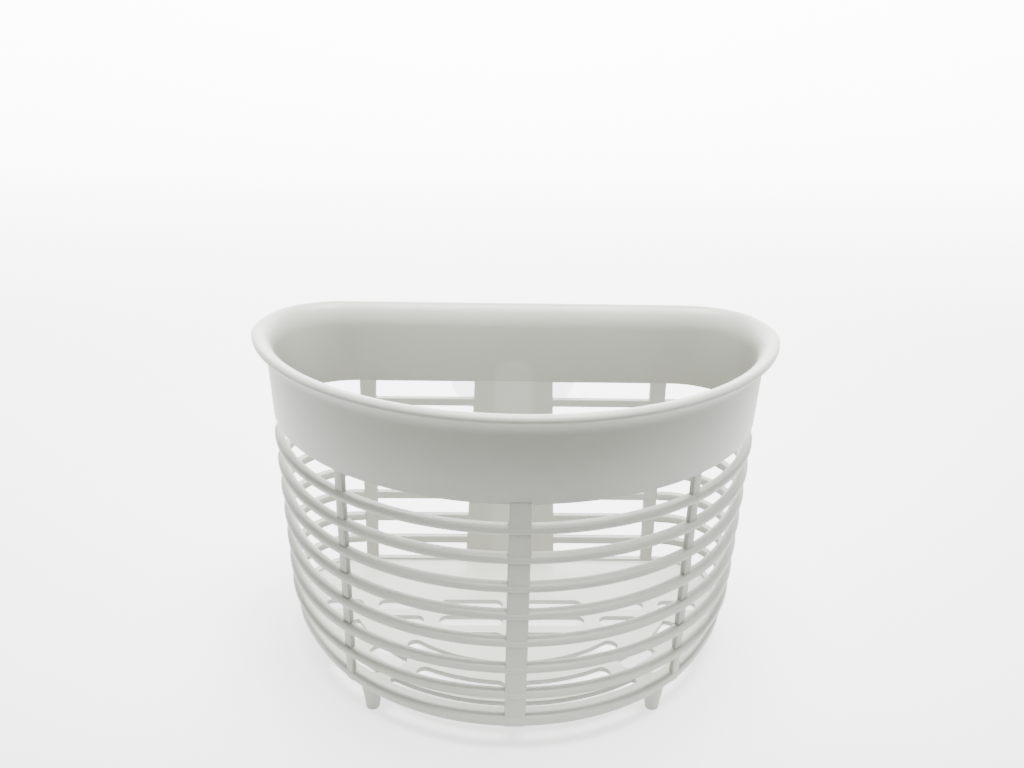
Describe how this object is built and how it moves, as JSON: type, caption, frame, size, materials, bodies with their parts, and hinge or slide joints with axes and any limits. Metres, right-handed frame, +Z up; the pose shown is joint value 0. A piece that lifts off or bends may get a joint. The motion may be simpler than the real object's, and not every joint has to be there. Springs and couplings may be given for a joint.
{
  "type": "sponge holder",
  "caption": "D-shaped openwork plastic basket for a sink sponge, with hooped bars, slotted back and floor, small feet and a sliding suction cup behind.",
  "frame": {"origin": "centre of the whole part's bounding box on the plane of the feet's tips, cup at rest", "axes": "+X along the flat back, across the holder's width; +Y from the round front to the flat back and the suction cup; +Z up"},
  "size_m": [0.118, 0.0774, 0.079],
  "materials": {
    "basket_plastic": "off-white polypropylene, slightly translucent, satin gloss",
    "cup_vinyl": "clear soft vinyl, glossy"
  },
  "bodies": {
    "basket": {"rim_lip": "basket_plastic", "front_band": "basket_plastic", "rear_wall": "basket_plastic", "front_post": "basket_plastic", "left_post": "basket_plastic", "right_post": "basket_plastic", "hoop_1": "basket_plastic", "hoop_2": "basket_plastic", "hoop_3": "basket_plastic", "hoop_4": "basket_plastic", "hoop_5": "basket_plastic", "hoop_6": "basket_plastic", "hoop_7": "basket_plastic", "bottom_ring": "basket_plastic", "floor": "basket_plastic", "foot_front_left": "basket_plastic", "foot_front_right": "basket_plastic", "foot_rear_left": "basket_plastic", "foot_rear_right": "basket_plastic", "cup_rail": "basket_plastic"},
    "cup": {"suction_cup": "cup_vinyl"}
  },
  "joints": [
    {"name": "cup_slide", "type": "slide", "parent": "basket", "child": "cup", "axis": [0, 0, -1], "range_m": [0, 0.0206]}
  ]
}
